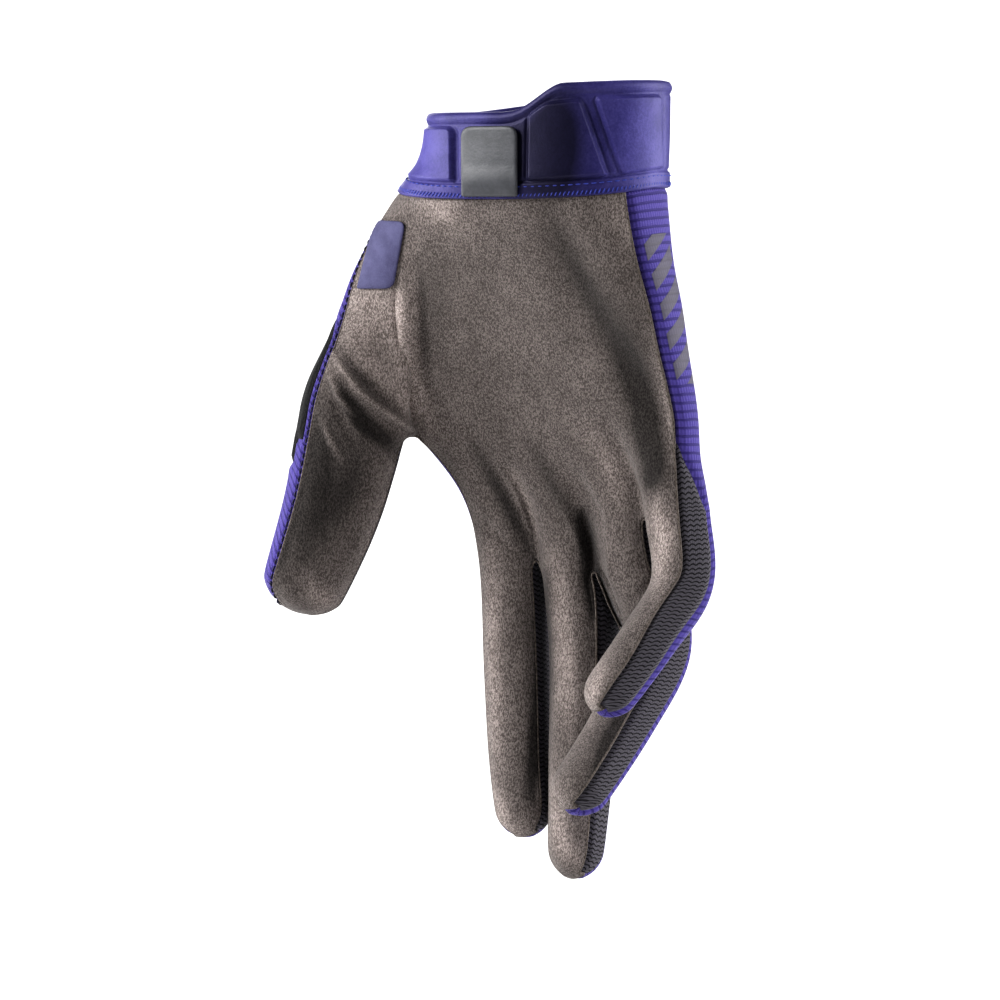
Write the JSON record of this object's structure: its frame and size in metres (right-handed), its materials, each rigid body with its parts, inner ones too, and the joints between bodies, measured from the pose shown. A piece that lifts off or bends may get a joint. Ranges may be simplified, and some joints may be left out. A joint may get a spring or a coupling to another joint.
{
  "type": "mountain bike glove",
  "caption": "Right-hand full-finger riding glove with a suede palm, a knit back, mesh strips between the fingers and a padded wrist band, worn on an unseen hand.",
  "frame": {"origin": "centre of the cuff's top opening, where the wrist comes out", "axes": "+Z towards the forearm, the fingers hang towards -Z; the palm faces -Y; +X towards the little finger, -X towards the thumb"},
  "size_m": [0.1275, 0.0557, 0.2224],
  "materials": {
    "suede": "matte brushed nap",
    "knit": "matte waffle knit",
    "cuff_skin": "smooth satin neoprene",
    "tab_rubber": "satin",
    "patch_rubber": "satin",
    "wipe_cloth": "matte brushed",
    "mesh": "matte mesh"
  },
  "bodies": {
    "root": {"palm_panel": "suede", "back_panel": "knit", "cuff": "cuff_skin", "cuff_tab": "tab_rubber", "thumb_patch": "patch_rubber", "thumb_wipe": "wipe_cloth", "thumb_gusset": "mesh", "index_middle_gusset": "mesh", "middle_ring_gusset": "mesh", "ring_little_gusset": "mesh", "little_gusset": "mesh"}
  },
  "joints": []
}
